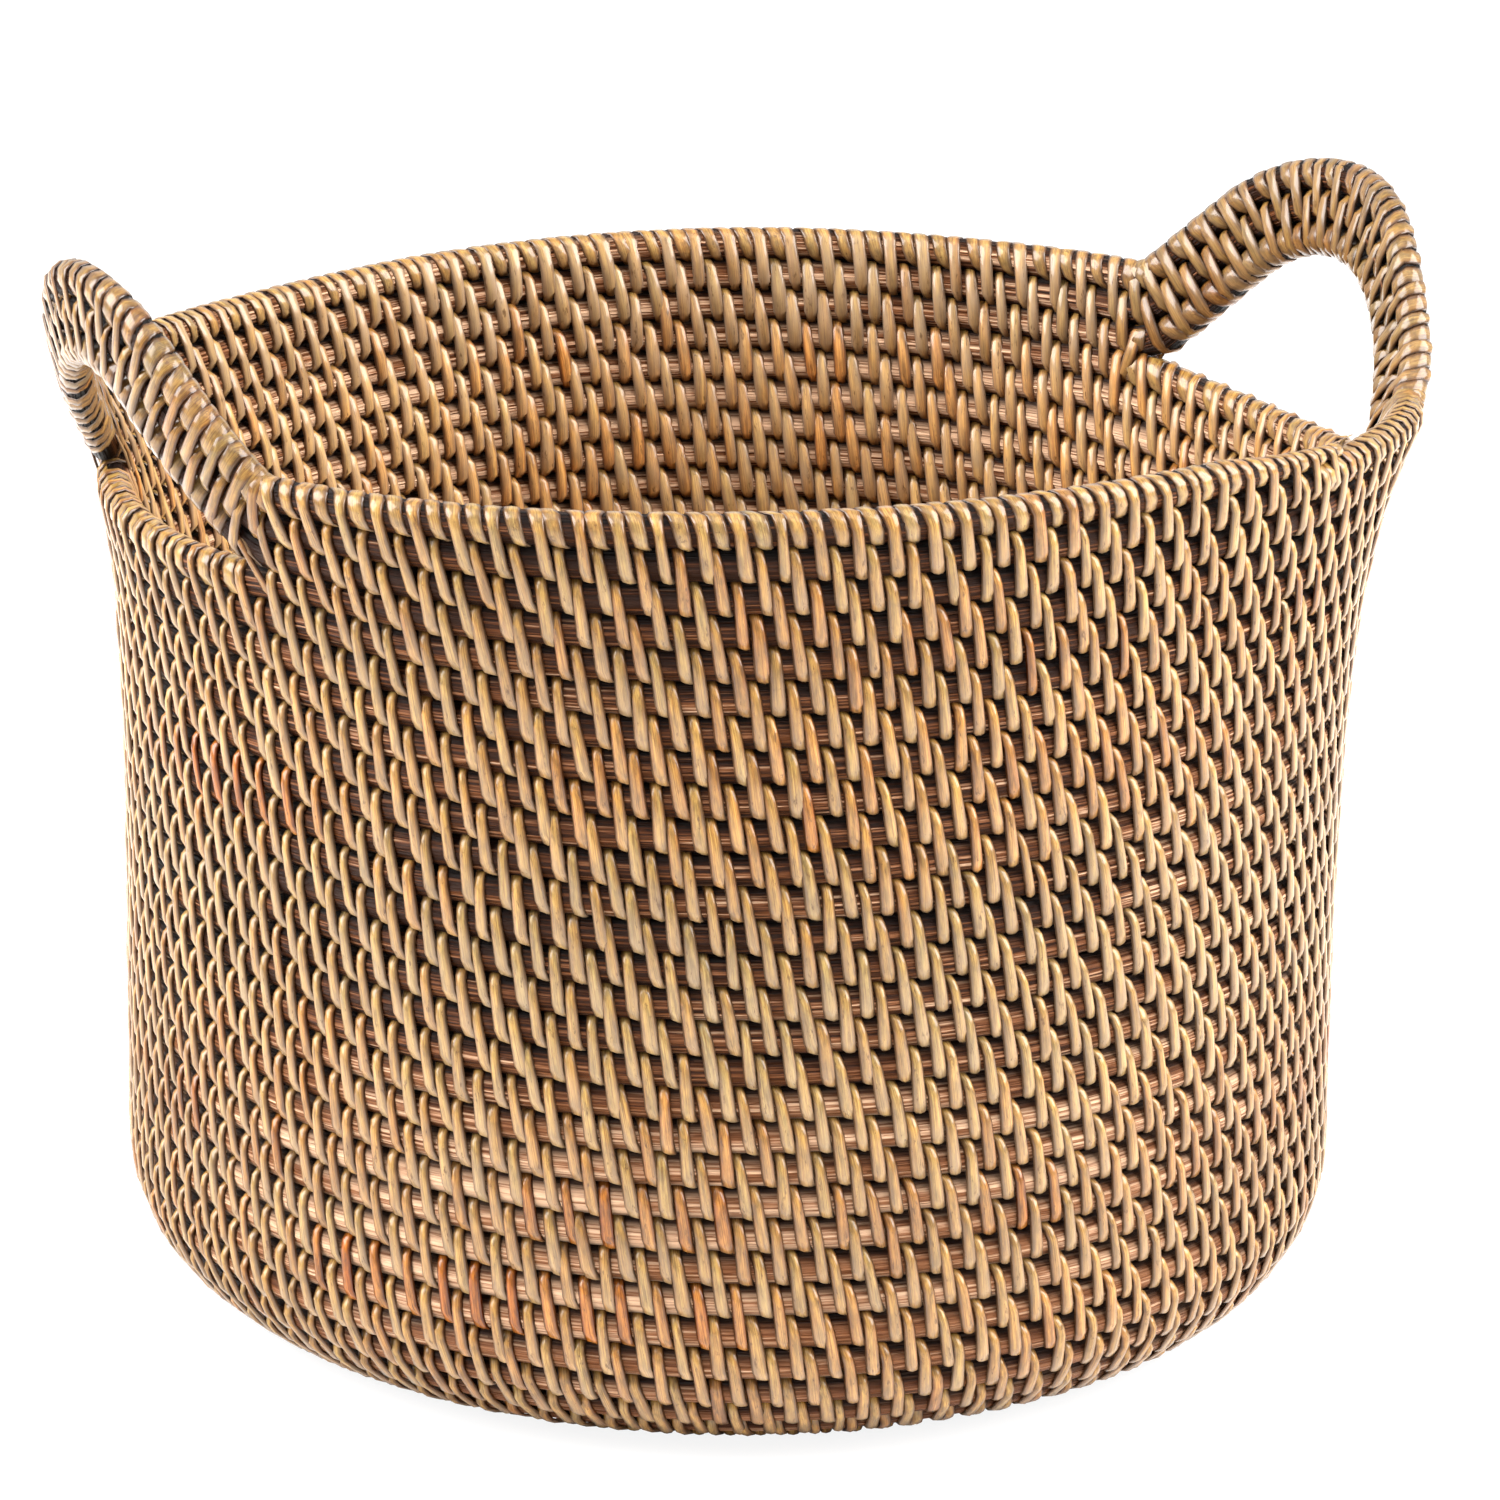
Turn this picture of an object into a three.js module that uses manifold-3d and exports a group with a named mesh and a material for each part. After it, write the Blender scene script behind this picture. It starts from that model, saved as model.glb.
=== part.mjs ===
// Coiled rattan basket with two handles, in millimetres, +Z up.
// The origin is the centre of the underside, and the handles stand on +X and -X.
// One coil of round cane is laid in a spiral: it winds out over the floor, bends up round
// the corner and climbs the wall. The last turns rise over two arches, which are the handles.
// The coil is spliced from canes a few turns long, and each cane is a solid of its own.

import * as THREE from 'three';
import { mergeVertices } from 'three/addons/utils/BufferGeometryUtils.js';
import Module from 'manifold-3d';

// The coil.
const COURSE_PITCH = 9.6; // from one course of the coil to the next, along the wall
const CANE_THICKNESS = 8.4; // across one bound course
const SPLICE_GAP = 0.3; // between the butted ends of two canes
const WHOLE_TURNS = 44; // from the centre of the floor to the rim, up to azimuth 0
const END_AZIMUTH = -45; // degrees from +X, where the coil ends on the rim after one more turn
const START_TURN = 0.6; // the coil starts this many turns out from the centre
const START_TAPER_TURNS = 1.0;
const START_THICKNESS = 0.6; // share of the full thickness at the thin starting end
const END_TAPER_LENGTH = 62;
const END_THICKNESS = 0.35; // share of the full thickness at the thin last end
const WORN_SHARE = 0.1; // the canes under the floor are worn flat by this share of the thickness

// The body.
const FLOOR_RADIUS = 139; // flat part of the floor
const CORNER_RADIUS = 36.5; // round corner between floor and wall, on the middle of the cane
const FLARE_START = 196; // height at which the wall begins to lean outwards
const RIM_LEAN = 12; // degrees from upright at the rim
const RIM_OVAL = 12; // the rim is this much wider towards the handles and narrower across

// The handles. Each is worked by hand, and the left one came out lower and a little turned.
const HANDLE_COURSES = 3;
const RIGHT_HANDLE_AZIMUTH = 0; // degrees from +X
const RIGHT_HANDLE_RISE = 51; // from a course on the rim up to the same course on the crown
const LEFT_HANDLE_AZIMUTH = 183;
const LEFT_HANDLE_RISE = 45;
const HANDLE_LEAN = 6; // degrees from upright
const LEAN_CHANGE_LENGTH = 20; // over which the lean goes from the rim's to the handle's
const HANDLE_SLOPE = 40; // degrees, of the straight legs
const HANDLE_CROWN_RADIUS = 48; // on the innermost course
const HANDLE_FOOT_RADIUS = 30; // on the innermost course

// How the coil is divided into canes.
const FLOOR_CANES = 2;
const CORNER_CANES = 3;
const WALL_CANES = 6;
const HANDLE_SPLICES = [0.85, 1.95]; // turns after the first handle course leaves the wall

// Facets.
const SIDES = 6;
const STEPS_PER_TURN = 20;
const FINE_FLOOR_RADIUS = 62; // inside this radius a turn has half as many steps
const FOOT_STEPS = 3;
const LEG_STEPS = 2;
const CROWN_STEPS = 5;
const LEAST_STEP = 0.25; // share of a step: the route has no two points closer than this
const SPLICE_REACH = 1.5; // steps: a splice moves this far to reach the middle of a long step
const TINY = 1e-6;

// Colour, a little different from one cane to the next.
const RATTAN = 0xc39a5f;
const RATTAN_ROUGHNESS = 0.5;
const SHADES = 3;
const SHADE_STEP = 0.02;

const radians = THREE.MathUtils.degToRad;
const FULL_TURN = 2 * Math.PI;

// Across its corners the cane's section reaches a little further than across its flats.
const sectionRadius = CANE_THICKNESS / 2 / Math.cos(Math.PI / SIDES);
const wornDepth = WORN_SHARE * CANE_THICKNESS;
const floorHeight = sectionRadius - wornDepth;

// The coil ends at its last turn, counted from the centre, and the handles take its last turns.
const endTurn = WHOLE_TURNS + 1 + END_AZIMUTH / 360;
const handleTurn = endTurn - HANDLE_COURSES;
const rimDistance = endTurn * COURSE_PITCH;

// The profile from the centre of the floor to the crown of a handle, on the middle of the canes.
// Each stretch is straight or an arc. Its angles are those of the wall from level.
const upright = Math.PI / 2;
const rimAngle = upright - radians(RIM_LEAN);
const handleAngle = upright - radians(HANDLE_LEAN);
const straightHeight = FLARE_START - floorHeight - CORNER_RADIUS;
const flareDistance = FLOOR_RADIUS + CORNER_RADIUS * upright + straightHeight;
const profile = [
  { length: FLOOR_RADIUS, from: 0, to: 0 },
  { length: CORNER_RADIUS * upright, from: 0, to: upright },
  { length: straightHeight, from: upright, to: upright },
  { length: rimDistance - flareDistance, from: upright, to: rimAngle },
  { length: LEAN_CHANGE_LENGTH, from: rimAngle, to: handleAngle },
  { length: Infinity, from: handleAngle, to: handleAngle },
];
const cornerDistance = profile[0].length;
const wallDistance = cornerDistance + profile[1].length;

// A point of the profile: radius, height and the angle of the wall from level.
function profileAt(distance) {
  let radius = 0;
  let height = floorHeight;
  let left = distance;
  let angle = 0;
  for (const { length, from, to } of profile) {
    const step = Math.min(left, length);
    angle = from + (from === to ? 0 : ((to - from) * step) / length);
    if (from === to) {
      radius += step * Math.cos(angle);
      height += step * Math.sin(angle);
    } else {
      const arcRadius = length / (to - from);
      radius += arcRadius * (Math.sin(angle) - Math.sin(from));
      height += arcRadius * (Math.cos(from) - Math.cos(angle));
    }
    left -= step;
    if (left <= 0) {
      break;
    }
  }
  return { radius, height, angle };
}

// A point in the middle of the wall and the wall's outward direction there.
function wallPoint(azimuth, distance) {
  const at = profileAt(distance);
  const share = THREE.MathUtils.clamp((distance - wallDistance) / (rimDistance - wallDistance), 0, 1);
  const radius = at.radius + RIM_OVAL * share * share * Math.cos(2 * azimuth);
  const outward = new THREE.Vector3(Math.cos(azimuth), Math.sin(azimuth), 0);
  return {
    point: outward.clone().multiplyScalar(radius).setZ(at.height),
    normal: outward.clone().multiplyScalar(Math.sin(at.angle)).setZ(-Math.cos(at.angle)),
  };
}

// Half an arch, unrolled on the wall: a foot arc, a straight leg and half of the crown arc.
// Each course further out has the same centres with a larger crown and a smaller foot.
function halfArch(course, handleRise) {
  const slope = radians(HANDLE_SLOPE);
  const bothRadii = HANDLE_CROWN_RADIUS + HANDLE_FOOT_RADIUS;
  const leg = (handleRise - bothRadii * (1 - Math.cos(slope))) / Math.sin(slope);
  const halfSpan = bothRadii * Math.sin(slope) + leg * Math.cos(slope);
  const offset = course * COURSE_PITCH;
  const foot = HANDLE_FOOT_RADIUS - offset;
  const crown = HANDLE_CROWN_RADIUS + offset;
  const points = [];
  for (let i = 0; i <= FOOT_STEPS; i += 1) {
    const angle = (slope * i) / FOOT_STEPS;
    points.push([foot * Math.sin(angle) - halfSpan, HANDLE_FOOT_RADIUS - foot * Math.cos(angle)]);
  }
  const crownCentre = handleRise - HANDLE_CROWN_RADIUS;
  for (let i = 0; i <= CROWN_STEPS; i += 1) {
    const angle = slope * (1 - i / CROWN_STEPS);
    points.push([-crown * Math.sin(angle), crownCentre + crown * Math.cos(angle)]);
  }
  const legStart = points[FOOT_STEPS];
  const legEnd = points[FOOT_STEPS + 1];
  const between = [];
  for (let i = 1; i < LEG_STEPS; i += 1) {
    const share = i / LEG_STEPS;
    between.push(legStart.map((value, axis) => value + (legEnd[axis] - value) * share));
  }
  points.splice(FOOT_STEPS + 1, 0, ...between);
  // The unrolled height is measured from the course's own place on the rim.
  return points.map(([along, rise]) => [along, rise - offset]);
}

// The whole arch as turns from its crown and rises, mirrored about the crown.
function wholeArch(course, handleRise) {
  const half = halfArch(course, handleRise);
  const mirrored = half.slice(0, -1).reverse().map(([along, rise]) => [-along, rise]);
  const rimRadius = profileAt(rimDistance).radius + RIM_OVAL;
  return [...half, ...mirrored].map(([along, rise]) => {
    return { turns: along / rimRadius / FULL_TURN, rise };
  });
}

// Every arch of every handle course, with the turn of its crown.
function allArches() {
  const handles = [
    { azimuth: RIGHT_HANDLE_AZIMUTH, rise: RIGHT_HANDLE_RISE },
    { azimuth: LEFT_HANDLE_AZIMUTH, rise: LEFT_HANDLE_RISE },
  ];
  const arches = [];
  for (let course = 0; course < HANDLE_COURSES; course += 1) {
    for (const { azimuth, rise } of handles) {
      const crownTurn = WHOLE_TURNS + 1 - HANDLE_COURSES + course + azimuth / 360;
      arches.push({ crownTurn, points: wholeArch(course, rise) });
    }
  }
  return arches;
}

// The places along the coil where the route has a point: turn number and rise over the wall.
function coilStations() {
  const arches = allArches();
  const fineTurn = FINE_FLOOR_RADIUS / COURSE_PITCH;
  const firstStep = Math.ceil(START_TURN * STEPS_PER_TURN + LEAST_STEP);
  const lastStep = Math.floor(endTurn * STEPS_PER_TURN - LEAST_STEP);
  const stations = [{ turn: START_TURN, rise: 0 }];
  for (let step = firstStep; step <= lastStep; step += 1) {
    const turn = step / STEPS_PER_TURN;
    const skipped = turn < fineTurn && step % 2 === 1;
    const inArch = arches.some(({ crownTurn, points }) => {
      return Math.abs(turn - crownTurn) < Math.abs(points[0].turns) + LEAST_STEP / STEPS_PER_TURN;
    });
    if (!skipped && !inArch) {
      stations.push({ turn, rise: 0 });
    }
  }
  for (const { crownTurn, points } of arches) {
    points.forEach(({ turns, rise }) => stations.push({ turn: crownTurn + turns, rise }));
  }
  stations.push({ turn: endTurn, rise: 0 });
  return stations.sort((a, b) => a.turn - b.turn);
}

// The share of full thickness at a turn: thin at the start, and again at the end on the rim.
function thicknessAt(turn) {
  const fromStart = THREE.MathUtils.clamp((turn - START_TURN) / START_TAPER_TURNS, 0, 1);
  const endTaperTurns = END_TAPER_LENGTH / profileAt(rimDistance).radius / FULL_TURN;
  const fromEnd = THREE.MathUtils.clamp((endTurn - turn) / endTaperTurns, 0, 1);
  const start = THREE.MathUtils.lerp(START_THICKNESS, 1, fromStart);
  const end = THREE.MathUtils.lerp(END_THICKNESS, 1, fromEnd);
  return start * end;
}

// A point of the route. The thinned end sinks by what it has lost, so it lies on the course below.
function routePoint({ turn, rise }) {
  const share = thicknessAt(turn);
  const onRim = turn > handleTurn;
  const sink = onRim ? ((1 - share) * CANE_THICKNESS) / 2 : 0;
  const place = wallPoint(turn * FULL_TURN, turn * COURSE_PITCH + rise - sink);
  return { ...place, share, turn };
}

// A six-sided section in the plane that halves the bend at this point of the route.
function sectionAt(previous, here, next) {
  const arriving = here.point.clone().sub((previous ?? here).point).normalize();
  const leaving = (next ?? here).point.clone().sub(here.point).normalize();
  const forward = arriving.clone().add(leaving).normalize();
  const normal = here.normal.clone().addScaledVector(forward, -here.normal.dot(forward)).normalize();
  const across = forward.clone().cross(normal);
  const isBend = previous && next;
  const bend = isBend ? leaving.clone().sub(arriving) : new THREE.Vector3();
  const cosine = isBend ? forward.dot(leaving) : 1;
  if (bend.length() > TINY) {
    bend.normalize();
  }
  const points = [];
  for (let i = 0; i < SIDES; i += 1) {
    const angle = (FULL_TURN * i) / SIDES;
    const offset = normal.clone().multiplyScalar(Math.cos(angle));
    offset.addScaledVector(across, Math.sin(angle));
    offset.addScaledVector(bend, offset.dot(bend) * (1 / cosine - 1));
    points.push(here.point.clone().addScaledVector(offset, sectionRadius * here.share));
  }
  return points;
}

// One cane as a closed tube through its sections, with a flat end at each side.
function caneGeometry(sections) {
  const positions = [];
  sections.forEach((section) => section.forEach((point) => positions.push(point.x, point.y, point.z)));
  const indices = [];
  for (let ring = 0; ring + 1 < sections.length; ring += 1) {
    for (let i = 0; i < SIDES; i += 1) {
      const a = ring * SIDES + i;
      const b = ring * SIDES + ((i + 1) % SIDES);
      indices.push(a, b, a + SIDES);
      indices.push(b, b + SIDES, a + SIDES);
    }
  }
  const last = (sections.length - 1) * SIDES;
  for (let i = 1; i + 1 < SIDES; i += 1) {
    indices.push(0, i + 1, i);
    indices.push(last, last + i, last + i + 1);
  }
  const geometry = new THREE.BufferGeometry();
  geometry.setAttribute('position', new THREE.Float32BufferAttribute(positions, 3));
  geometry.setIndex(indices);
  return geometry;
}

// The route between two splices, each in the middle of a straight step.
function caneRoute(stations, splices, index) {
  const from = splices[index];
  const to = splices[index + 1];
  const inside = stations.filter(({ turn }) => turn > from + TINY && turn < to - TINY);
  const isFirst = index === 0;
  const isLast = index + 2 === splices.length;
  return [
    isFirst ? routePoint(stations[0]) : spliceEnd(stations, from, 1),
    ...inside.map(routePoint),
    isLast ? routePoint(stations[stations.length - 1]) : spliceEnd(stations, to, -1),
  ];
}

// A cane's end lies on the straight line between the two stations on either side of the splice.
function spliceEnd(stations, turn, side) {
  const after = stations.findIndex((station) => station.turn > turn);
  const a = routePoint(stations[after - 1]);
  const b = routePoint(stations[after]);
  const middle = a.point.clone().lerp(b.point, 0.5);
  const direction = b.point.clone().sub(a.point).normalize();
  return {
    point: middle.addScaledVector(direction, (side * SPLICE_GAP) / 2),
    normal: a.normal.clone().add(b.normal).normalize(),
    share: (a.share + b.share) / 2,
    turn,
  };
}

// A splice goes in the middle of the longest step near the wanted turn.
function nearestSplice(stations, wanted) {
  const reach = SPLICE_REACH / STEPS_PER_TURN;
  let best = wanted;
  let longest = 0;
  for (let i = 0; i + 1 < stations.length; i += 1) {
    const middle = (stations[i].turn + stations[i + 1].turn) / 2;
    const length = stations[i + 1].turn - stations[i].turn;
    const level = stations[i].rise === 0 && stations[i + 1].rise === 0;
    if (level && Math.abs(middle - wanted) < reach && length > longest + TINY) {
      best = middle;
      longest = length;
    }
  }
  return best;
}

// Names of the canes, and the turns at which each starts.
function planCanes() {
  const cornerTurn = cornerDistance / COURSE_PITCH;
  const wallTurn = wallDistance / COURSE_PITCH;
  const names = [];
  const starts = [];
  const groups = [
    ['floor_cane', START_TURN, cornerTurn, FLOOR_CANES],
    ['corner_cane', cornerTurn, wallTurn, CORNER_CANES],
    ['wall_cane', wallTurn, handleTurn, WALL_CANES],
  ];
  for (const [name, from, to, count] of groups) {
    for (let i = 0; i < count; i += 1) {
      names.push(`${name}_${i + 1}`);
      starts.push(from + ((to - from) * i) / count);
    }
  }
  [0, ...HANDLE_SPLICES].forEach((turns, i) => {
    names.push(`handle_cane_${i + 1}`);
    starts.push(handleTurn + turns);
  });
  return { names, starts };
}

const wasm = await Module();
wasm.setup();

function toSolid(geometry) {
  const merged = geometry.clone();
  merged.deleteAttribute('normal');
  merged.deleteAttribute('uv');
  const welded = mergeVertices(merged);
  return new wasm.Manifold(new wasm.Mesh({
    numProp: 3,
    vertProperties: new Float32Array(welded.attributes.position.array),
    triVerts: new Uint32Array(welded.index.array),
  }));
}

function fromSolid(solid) {
  const mesh = solid.getMesh();
  const geometry = new THREE.BufferGeometry();
  geometry.setAttribute('position', new THREE.BufferAttribute(new Float32Array(mesh.vertProperties), 3));
  geometry.setIndex(new THREE.BufferAttribute(new Uint32Array(mesh.triVerts), 1));
  return geometry;
}

// The canes that touch the ground are cut off level, which gives the basket its rest face.
function cutFlat(geometry) {
  const size = 4 * (FLOOR_RADIUS + CORNER_RADIUS);
  const ground = new THREE.BoxGeometry(size, size, size);
  ground.translate(0, 0, -size / 2);
  return fromSolid(toSolid(geometry).subtract(toSolid(ground)));
}

// The least distance between corners of neighbouring courses, half a turn to a turn and a half on.
function leastGap(corners) {
  let least = Infinity;
  corners.forEach(({ point, turn }, i) => {
    for (let k = i + 1; k < corners.length && corners[k].turn < turn + 1.5; k += 1) {
      if (corners[k].turn > turn + 0.5) {
        least = Math.min(least, point.distanceTo(corners[k].point));
      }
    }
  });
  return least;
}

function makeCane(name, sections, shade) {
  let geometry = caneGeometry(sections);
  geometry.computeBoundingBox();
  if (geometry.boundingBox.min.z < 0) {
    geometry = cutFlat(geometry);
  }
  geometry.computeVertexNormals();
  const material = new THREE.MeshStandardMaterial({ roughness: RATTAN_ROUGHNESS, metalness: 0 });
  material.color.set(RATTAN).offsetHSL(0, 0, shade);
  const mesh = new THREE.Mesh(geometry, material);
  mesh.name = name;
  return mesh;
}

function buildBasket() {
  const basket = new THREE.Group();
  const stations = coilStations();
  const { names, starts } = planCanes();
  const splices = starts.map((turn, i) => (i === 0 ? turn : nearestSplice(stations, turn)));
  splices.push(endTurn);
  const corners = [];
  names.forEach((name, i) => {
    const route = caneRoute(stations, splices, i);
    const sections = route.map((here, k) => sectionAt(route[k - 1], here, route[k + 1]));
    sections.forEach((section, k) => {
      section.forEach((point) => corners.push({ point, turn: route[k].turn }));
    });
    const shade = SHADE_STEP * ((i % SHADES) - 1);
    basket.add(makeCane(name, sections, shade));
  });
  console.log(`least gap between courses ${leastGap(corners).toFixed(2)} mm`);
  return basket;
}

export default buildBasket();
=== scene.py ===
import bpy
import numpy as np
from mathutils import Matrix, Vector


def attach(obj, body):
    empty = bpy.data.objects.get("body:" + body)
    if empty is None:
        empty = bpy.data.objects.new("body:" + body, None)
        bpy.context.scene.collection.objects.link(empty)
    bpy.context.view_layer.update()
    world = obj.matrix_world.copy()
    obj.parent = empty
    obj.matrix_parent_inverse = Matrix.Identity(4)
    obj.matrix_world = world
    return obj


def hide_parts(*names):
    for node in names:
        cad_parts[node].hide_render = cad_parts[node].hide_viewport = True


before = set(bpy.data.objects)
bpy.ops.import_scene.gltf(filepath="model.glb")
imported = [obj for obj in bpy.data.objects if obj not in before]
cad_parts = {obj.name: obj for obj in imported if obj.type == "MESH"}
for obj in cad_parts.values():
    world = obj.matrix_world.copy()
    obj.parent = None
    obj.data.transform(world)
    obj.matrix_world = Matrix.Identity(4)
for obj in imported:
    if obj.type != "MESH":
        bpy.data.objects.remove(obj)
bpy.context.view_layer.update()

# The coil.
# One long bundle of brown splints, as thick as a pencil, lies in a spiral over the floor, round the
# corner and up the wall. Its last three turns rise over two arches, which are the handles. Only the
# stitches hold it together. Sizes are in millimetres, and turns count from the middle of the floor.
MILLIMETRE = 0.001
TAU = 2 * np.pi
UPRIGHT = np.pi / 2
PITCH = 9.6
WHOLE_TURNS, END_AZIMUTH = 44, -45
START_TURN, END_TURN = 0.2, WHOLE_TURNS + 1 + END_AZIMUTH / 360
LAST_TURN = END_TURN - 1
FLOOR_RADIUS, CORNER_RADIUS, FLOOR_HEIGHT = 139.0, 36.5, 4.01
FLARE_START = 196.0
RIM_LEAN, HANDLE_LEAN, LEAN_CHANGE = np.radians(12), np.radians(6), 20.0
RIM_OVAL = 12.0
HANDLE_COURSES = 3
# The turn at which the coil comes over azimuth 0 on the lowest of the handle courses
FIRST_OVER = WHOLE_TURNS + 1 - HANDLE_COURSES
# Of each handle: azimuth of its middle, rise, slope of the legs, radius of the crown and of the feet
HANDLES = ((2.0, 47.7, 43.5, 56.0, 30.5), (183.7, 46.1, 42.0, 40.0, 28.0))
# The wall waves in and out from the work. Of each wave: size, waves round the basket, millimetres
# along the profile and start. They grow from a share of the way to the wall onwards.
WAVE_SIZE, WAVES_FROM = 0.45, 0.6
WAVES = ((1.0, 2, 61, 0.9), (0.6, 5, -37, 2), (0.5, 9, 23, 4))
# Where the maker's hand left the wall in or out, or high or low: azimuth and distance along the
# profile, degrees and millimetres that it fades over, and how far out and up it lies there
HAND_PULLS = (
    (172, 395, 28, 45, -3.6, 0.0), (168, 330, 35, 55, -2.7, 0.0), (128, 425, 28, 70, 0.0, -5.4),
    (60, 430, 30, 70, 0.0, 1.4), (24, 440, 14, 40, -1.8, 1.5), (0, 490, 14, 30, 3.2, -0.4),
    (-24, 435, 12, 25, 4.9, -3.0), (-22, 400, 16, 30, 2.1, 1.5), (-22, 330, 25, 50, -1.1, 0.0),
    (5, 405, 14, 22, 0.0, -3.2), (-50, 420, 20, 30, 0.0, -1.0), (158, 450, 14, 30, 0.9, -1.8),
    (27, 391, 7, 12, 0.0, 2.2), (-21, 391, 6, 12, 0.0, 2.6), (157, 396, 7, 12, 0.0, 2.0),
    (209, 397, 7, 12, 0.0, 2.0))
START_SHARE = 0.85
END_TAPER, END_SHARE = 62.0, 0.35
# Courses further apart than this aren't sewn together, and the innermost turns have none below them
LONGEST_REACH = 1.6 * PITCH
INNERMOST_TURNS = 2
LEAST_TALL, MOST_TALL = 0.94, 1.14
GROUND_SOFTNESS = 0.5
SHORT_STEP = 0.0005
wall_start = FLOOR_RADIUS + CORNER_RADIUS * UPRIGHT
straight = FLARE_START - FLOOR_HEIGHT - CORNER_RADIUS
rim_start = END_TURN * PITCH
# The profile from the middle of the floor upwards: length and angle from level at both ends. The
# last stretch is longer than any handle needs.
STRETCHES = (
    (FLOOR_RADIUS, 0.0, 0.0),
    (CORNER_RADIUS * UPRIGHT, 0.0, UPRIGHT),
    (straight, UPRIGHT, UPRIGHT),
    (rim_start - wall_start - straight, UPRIGHT, UPRIGHT - RIM_LEAN),
    (LEAN_CHANGE, UPRIGHT - RIM_LEAN, UPRIGHT - HANDLE_LEAN),
    (1000.0, UPRIGHT - HANDLE_LEAN, UPRIGHT - HANDLE_LEAN),
)


def profile(distance):
    """Radius, height and angle from level, at a distance from the centre along the basket's profile.

    Each stretch is a straight line or an arc, whose radius is its length over its change of angle.
    """
    radius, angle = np.zeros_like(distance), np.zeros_like(distance)
    height = np.full_like(distance, FLOOR_HEIGHT)
    left = distance.copy()
    for length, start, end in STRETCHES:
        step = np.clip(left, 0, length)
        reached = start + (end - start) * step / length
        if start == end:
            radius += step * np.cos(start)
            height += step * np.sin(start)
        else:
            bend = length / (end - start)
            radius += bend * (np.sin(reached) - np.sin(start))
            height += bend * (np.cos(start) - np.cos(reached))
        angle = np.where(left > 0, reached, angle)
        left = left - length
    return radius, height, angle


def half_span(handle):
    """Half the width of an arch, and the length of its straight leg.

    The leg is what the two arcs leave of the rise, over the sine of the slope. The half width is
    both radii times the sine of the slope, and the leg times its cosine.
    """
    _, rise, degrees, crown, foot = handle
    slope = np.radians(degrees)
    leg = (rise - (crown + foot) * (1 - np.cos(slope))) / np.sin(slope)
    return (crown + foot) * np.sin(slope) + leg * np.cos(slope), leg


rim_radius = profile(np.array([rim_start]))[0][0] + RIM_OVAL


def arch_of(turn):
    """Which handle's arch a place on the coil is in (-1 is none), its course and its share there.

    The share is how far it is from the middle of the arch, over the half width.
    """
    turn = np.asarray(turn, float)
    which, course, share = np.full(turn.shape, -1), np.zeros(turn.shape), np.ones(turn.shape)
    for number, handle in enumerate(HANDLES):
        first = FIRST_OVER + handle[0] / 360
        half = half_span(handle)[0] / rim_radius / TAU
        nearest = np.clip(np.round(turn - first), 0, HANDLE_COURSES - 1)
        across = (turn - first - nearest) / half
        inside = np.abs(across) < 1
        which = np.where(inside, number, which)
        course = np.where(inside, nearest, course)
        share = np.where(inside, across, share)
    return which, course, share


def lay(turn):
    """Centre of the coil and outward direction of the wall at each turn.

    The distance along the profile is the pitch times the turn, and the azimuth is the turn itself.
    In an arch a place keeps its share of the middle course's length, on parallel arcs: a foot arc,
    a straight leg and a crown arc, with the same centres for all three courses. The thinned end
    sinks by what it has lost, so that it lies on the course below. The waves of the work are sines,
    and a pull of the hand is a bell round the basket times a bell along the profile.
    """
    turn = np.asarray(turn, float)
    place, rise = turn.copy(), np.zeros_like(turn)
    which, course, share = arch_of(turn)
    for number, handle in enumerate(HANDLES):
        azimuth, height, degrees, crown_low, foot_low = handle
        half, leg = half_span(handle)
        slope = np.radians(degrees)
        foot_mid, crown_mid = foot_low - PITCH, crown_low + PITCH
        foot_length, crown_length = foot_mid * slope, crown_mid * slope
        gone = (foot_length + leg + crown_length) * (1 - np.abs(share))
        offset = course * PITCH
        foot, crown = foot_low - offset, crown_low + offset
        foot_angle = np.clip(gone / foot_mid, 0, slope)
        on_leg = np.clip(gone - foot_length, 0, leg)
        crown_angle = np.clip(slope - (gone - foot_length - leg) / crown_mid, 0, slope)
        along = np.where(
            gone < foot_length + leg,
            foot * np.sin(foot_angle) - half + on_leg * np.cos(slope),
            -crown * np.sin(crown_angle))
        up = np.where(
            gone < foot_length + leg,
            foot_low - foot * np.cos(foot_angle) + on_leg * np.sin(slope),
            height - crown_low + crown * np.cos(crown_angle))
        crown_turn = FIRST_OVER + azimuth / 360 + course
        side = np.where(share > 0, -1, 1)
        place = np.where(which == number, crown_turn + side * along / rim_radius / TAU, place)
        rise = np.where(which == number, up - offset, rise)
    sunk = np.where(turn > LAST_TURN, (1 - thickness(turn)) * PITCH / 2, 0)
    distance = place * PITCH + rise - sunk
    azimuth = place * TAU
    radius, height, angle = profile(distance)
    grown = np.clip((distance - wall_start) / (rim_start - wall_start), 0, 1)
    radius = radius + RIM_OVAL * grown ** 2 * np.cos(2 * azimuth)
    waving = np.zeros_like(azimuth)
    for size, waves, length, start in WAVES:
        waving += size * np.sin(waves * azimuth + distance / length + start)
    on_wall = np.clip(distance / wall_start - WAVES_FROM, 0, 1 - WAVES_FROM) / (1 - WAVES_FROM)
    radius = radius + WAVE_SIZE * waving * on_wall * np.sin(angle)
    for centre, reached, degrees, fade, pulled_out, pulled_up in HAND_PULLS:
        off = (np.degrees(azimuth) - centre + 180) % 360 - 180
        pull = np.exp(-(off / degrees) ** 2 - ((distance - reached) / fade) ** 2)
        radius, height = radius + pulled_out * pull, height + pulled_up * pull
    outward = np.stack([np.cos(azimuth), np.sin(azimuth), np.zeros_like(azimuth)], -1)
    point = outward * radius[..., None]
    point[..., 2] = height
    normal = outward * np.sin(angle)[..., None]
    normal[..., 2] = -np.cos(angle)
    return point, normal


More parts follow.
